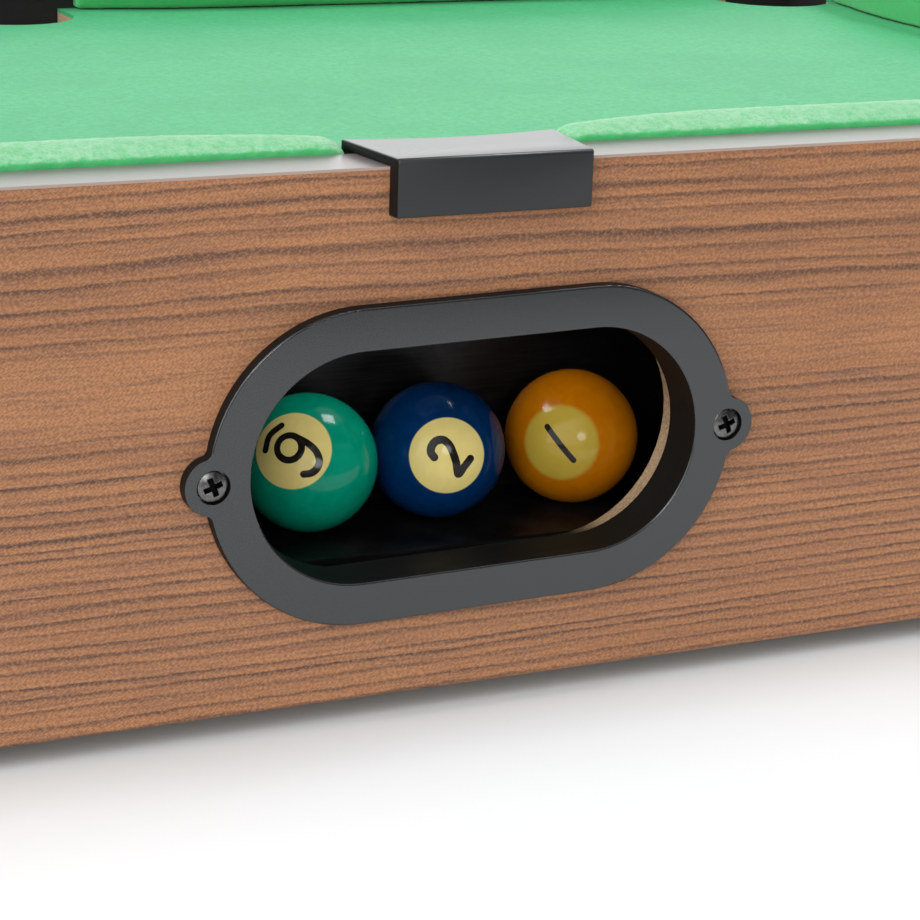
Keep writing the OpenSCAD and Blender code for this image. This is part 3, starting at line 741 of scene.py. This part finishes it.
BALLS = {
    "ball_one": {
        "slot": "ball_yellow", "tilt": (-0.1625, -0.12), "turn_deg": -38.7,
        "digit": DIGIT_ONE, "width": 0.085, "cream": SHADED_YELLOW_CREAM, "edge_deg": 6.0,
        "colours": ((0.43, 0.127, 0.0), (0.47, 0.149, 0.001)),
    },
    "ball_two": {
        "slot": "ball_blue", "tilt": (0.171, -0.103), "turn_deg": -51.0,
        "digit": DIGIT_TWO, "width": 0.115, "cream": CREAM, "edge_deg": 1.2,
        "colours": ((0.0, 0.026, 0.105), (0.001, 0.034, 0.138)),
    },
    "ball_six": {
        "slot": "ball_green", "tilt": (-0.234, 0.19), "turn_deg": 124.0,
        "digit": DIGIT_SIX, "width": 0.095, "cream": CREAM, "edge_deg": 1.2,
        "colours": ((0.0, 0.295, 0.178), (0.001, 0.345, 0.206)),
    },
}


def ball_axes(centre, tilt, turn_deg):
    """Right, top and axis of a ball's disc. Tilt is where the axis points as the camera sees the ball."""
    right = camera_axes()[0]
    back = (CAMERA_PLACE - centre).normalized()
    side = (right - back * right.dot(back)).normalized()
    up = back.cross(side)
    depth = math.sqrt(1 - tilt[0] ** 2 - tilt[1] ** 2)
    axis = (side * tilt[0] + up * tilt[1] + back * depth).normalized()
    level = (side - axis * side.dot(axis)).normalized()
    rise = axis.cross(level)
    c, s = math.cos(math.radians(turn_deg)), math.sin(math.radians(turn_deg))
    return level * c - rise * s, level * s + rise * c, axis


def sphere_mesh(right, top, axis, radius):
    """A sphere of rings of faces round an axis."""
    mesh = bmesh.new()
    pole = mesh.verts.new(axis * radius)
    foot = mesh.verts.new(-axis * radius)
    loops = []
    for i in range(1, BALL_RINGS):
        a = math.pi * i / BALL_RINGS
        loop = []
        for k in range(BALL_SPOKES):
            b = 2 * math.pi * k / BALL_SPOKES
            flat = right * math.cos(b) + top * math.sin(b)
            loop.append(mesh.verts.new((axis * math.cos(a) + flat * math.sin(a)) * radius))
        loops.append(loop)
    for k in range(BALL_SPOKES):
        n = (k + 1) % BALL_SPOKES
        mesh.faces.new((pole, loops[0][k], loops[0][n]))
        mesh.faces.new((foot, loops[-1][n], loops[-1][k]))
        for upper, lower in zip(loops, loops[1:]):
            mesh.faces.new((upper[k], lower[k], lower[n], upper[n]))
    return mesh


def smooth_line(points, steps):
    """A smooth curve through points, as closely spaced points."""
    p = [Vector(q) for q in points]
    if len(p) < 3:
        return [p[0].lerp(p[1], i / steps) for i in range(steps + 1)]
    p = [p[0] * 2 - p[1], *p, p[-1] * 2 - p[-2]]
    line = []
    for i in range(1, len(p) - 2):
        a, b, c, d = p[i - 1: i + 3]
        for k in range(steps):
            t = k / steps
            line.append(0.5 * (2 * b + (c - a) * t + (2 * a - 5 * b + 4 * c - d) * t * t
                               + (3 * b - a - 3 * c + d) * t * t * t))
    return [*line, p[-2]]


def stroke_rows(line, half):
    """A stroke's rows from end to end, each a middle, a direction and half a width, with round ends."""
    ways = []
    for i in range(len(line)):
        way = line[min(i + 1, len(line) - 1)] - line[max(i - 1, 0)]
        ways.append(way.normalized())
    rows = [(q, way, half) for q, way in zip(line, ways)]
    turns = [math.pi / 2 * (k + 0.5) / STROKE_CAP_ROWS for k in range(STROKE_CAP_ROWS)]
    start = [(line[0] - ways[0] * half * math.cos(a), ways[0], half * math.sin(a)) for a in turns]
    end = [(line[-1] + ways[-1] * half * math.cos(a), ways[-1], half * math.sin(a)) for a in turns]
    return [*start, *rows, *reversed(end)]


def wrap(q, axes, radius):
    """A flat point laid on a sphere whose pole is the third axis."""
    reach = q.length
    if reach < 1e-9:
        return axes[2] * radius
    turn = math.asin(min(0.99, reach))
    flat = (axes[0] * q.x + axes[1] * q.y) / reach
    return (axes[2] * math.cos(turn) + flat * math.sin(turn)) * radius


def add_stroke(mesh, axes, line, width, radius):
    """Adds a stroke to a mesh, wrapped on a sphere."""
    grid = []
    for q, way, reach in stroke_rows(line, width / 2):
        side = Vector((-way.y, way.x))
        row = []
        for j in range(STROKE_COLUMNS + 1):
            spot = q + side * reach * (2 * j / STROKE_COLUMNS - 1)
            row.append(mesh.verts.new(wrap(spot, axes, radius)))
        grid.append(row)
    for a, b in zip(grid, grid[1:]):
        for j in range(STROKE_COLUMNS):
            mesh.faces.new((a[j], b[j], b[j + 1], a[j + 1]))


def ball(node, ink_material, slot, tilt, turn_deg, digit, width, colours, cream, edge_deg):
    """A numbered ball with two cream discs, and the digit's ink on each."""
    low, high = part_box(node)
    centre = (low + high) / 2
    right, top, axis = ball_axes(centre, tilt, turn_deg)
    radius = BALL_R * MM
    piece = piece_from(sphere_mesh(right, top, axis, radius), node + "_resin")
    smooth(piece)
    piece.location = centre
    dress(piece, ball_resin(slot, colours, cream, axis, edge_deg))
    stands_for(piece, node)
    marks = bmesh.new()
    for pole_axes in ((right, top, axis), (right, -top, -axis)):
        for points in digit:
            line = smooth_line(points, STROKE_STEPS)
            add_stroke(marks, pole_axes, line, width, radius + INK_LIFT_MM * MM)
    number = piece_from(marks, node + "_number")
    smooth(number)
    number.location = centre
    dress(number, ink_material)
    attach(number, piece_body(node))


# Stage and light, in metres

FLOOR_REACH = 3.0
FLOOR_WHITE = (0.80, 0.82, 0.83)
FLOOR_DIM = ((0.48, 0.48, 0.48), (0.51, 0.51, 0.51))
FLOOR_BRIGHT = ((0.84, 0.84, 0.84), (0.87, 0.87, 0.87))
FLOOR_DARK = (0.08, 0.08, 0.08)
FLOOR_DARK_Y = -0.46
FLOOR_PALE_Y = -0.41
ROOM_LEVEL = 0.09
SKY_LEVEL = 0.78
OVERHEAD_LEVEL = 0.12
LEFT_LEVEL = 2.3
SKY = {"way": (0, 0.6, 0.8), "cosines": (-0.1, 0.6), "levels": (ROOM_LEVEL, SKY_LEVEL)}
LEFT_WALL = {"way": (-0.80, -0.50, 0.33), "cosines": (0.5, 1.0), "levels": (0.0, LEFT_LEVEL)}
OVERHEAD = {
    "way": (-0.1, 0.08, 0.99), "cosines": (0.85, 0.93), "levels": (0.0, OVERHEAD_LEVEL - SKY_LEVEL),
}
LAMPS = {
    "left_top_light": {
        "place": (-1.15, 0.05, 1.2), "aim": (0, -0.1, 0.08), "size": (0.5, 0.5), "radiance": 11.0,
    },
    "right_top_light": {
        "place": (0.57, -0.08, 1.2), "aim": (0, -0.1, 0.08), "size": (0.34, 0.34), "radiance": 14.5,
    },
    "front_light": {
        "place": (-0.12, -1.06, 0.30), "aim": (0, -0.15, 0.05), "size": (0.26, 0.26), "radiance": 9.5,
        "shape": "ELLIPSE",
    },
    "back_light": {
        "place": (0.5, 0.95, 0.36), "aim": (0, -0.1, 0.09), "size": (1.0, 0.5), "radiance": 1.65,
    },
}


def soft_box(name, place, aim, size, radiance, shape="RECTANGLE"):
    """A lamp with that radiance, which the camera doesn't see."""
    data = bpy.data.lights.new(name, "AREA")
    data.shape = shape
    data.size, data.size_y = size
    area = size[0] * size[1] * (math.pi / 4 if shape == "ELLIPSE" else 1)
    data.energy = radiance * math.pi * area
    lamp = link(bpy.data.objects.new(name, data))
    lamp.location = place
    lamp.rotation_mode = "QUATERNION"
    lamp.rotation_quaternion = (Vector(place) - Vector(aim)).to_track_quat("Z", "Y")
    lamp.visible_camera = False


def make_world():
    """White to the camera. To other rays it is a room, pale behind and on the left and dark elsewhere."""
    world = bpy.data.worlds.new("studio")
    bpy.context.scene.world = world
    world.use_nodes = True
    g = Graph(world.node_tree)
    turned = g.node("TexCoord").outputs["Generated"]
    room = 0.0
    for lobe in (SKY, LEFT_WALL, OVERHEAD):
        part = g.span(g.dot(turned, lobe["way"]), *lobe["cosines"], *lobe["levels"])
        room = g.math("ADD", room, part)
    path = g.node("LightPath").outputs
    seen = g.math("MAXIMUM", path["Is Camera Ray"], path["Is Transmission Ray"])
    level = g.node("Mix")
    g.feed(level, Factor=seen, A=room, B=1.0)
    g.feed(g.tree.nodes["Background"], Color=(1, 1, 1), Strength=level.outputs["Result"])


def make_floor():
    """A floor that keeps the shadow: white to the camera, dimmer to other rays and dark in front."""
    mesh = bpy.data.meshes.new("floor")
    corners = [(x * FLOOR_REACH, y * FLOOR_REACH, 0) for x, y in ((-1, -1), (1, -1), (1, 1), (-1, 1))]
    mesh.from_pydata(corners, [], [(0, 1, 2, 3)])
    floor = link(bpy.data.objects.new("floor", mesh))
    g = Material("floor")
    place = g.place()
    path = g.node("LightPath").outputs
    mottle = g.noise(place, 0.02)
    colour = g.mix(path["Is Glossy Ray"], g.mix(mottle, *FLOOR_DIM), g.mix(mottle, *FLOOR_BRIGHT))
    pale = g.span(g.split(place)[1], FLOOR_DARK_Y * MM_PER_M, FLOOR_PALE_Y * MM_PER_M)
    colour = g.mix(pale, FLOOR_DARK, colour)
    colour = g.mix(path["Is Camera Ray"], colour, FLOOR_WHITE)
    dress(floor, g.finish(Base_Color=colour, Roughness=0.9, Specular_IOR_Level=0.0))


def make_stage():
    """The room, the floor and the lamps."""
    make_world()
    make_floor()
    for name, lamp in LAMPS.items():
        soft_box(name, **lamp)
    bpy.context.scene.view_settings.view_transform = "Standard"


# Dressing

make_camera()
make_stage()

plastic = black_plastic()
by_slot = {
    "wood_foil": wood_foil("wood_foil_long", "X"),
    "grey_edge": grey_edge(),
    "raw_board": raw_board(),
    "black_board": black_board(),
    "black_plastic": plastic,
    "black_screw": metal("black_screw", **BLACK_SCREW),
    "plain_screw": metal("plain_screw", **PLAIN_SCREW),
    "foot_rubber": rubber(),
}
for row in frame["record"]["subparts"]:
    if row["material_slot"] in by_slot:
        dress(NODES[row["node"]], by_slot[row["material_slot"]])
end_foil = wood_foil("wood_foil_short", "Y")
for node in ("left_panel", "right_panel"):
    dress(NODES[node], end_foil)

bed_sheet("bed_cloth", felt("bed_felt", **BED_FELT))
cushion_felt = felt("cushion_felt", **CUSHION_FELT)
for node in ("front_left_cushion", "front_right_cushion"):
    felt_cushion(node, cushion_felt, NEAR_VOXEL_MM)
for node in ("rear_left_cushion", "rear_right_cushion", "left_cushion", "right_cushion"):
    felt_cushion(node, cushion_felt, FAR_VOXEL_MM)

number_ink = ink()
for node, look in BALLS.items():
    ball(node, number_ink, **look)

for node in ("front_side_guard", "rear_side_guard"):
    rounded_copy(node, GUARD_ROUND_MM, plastic)
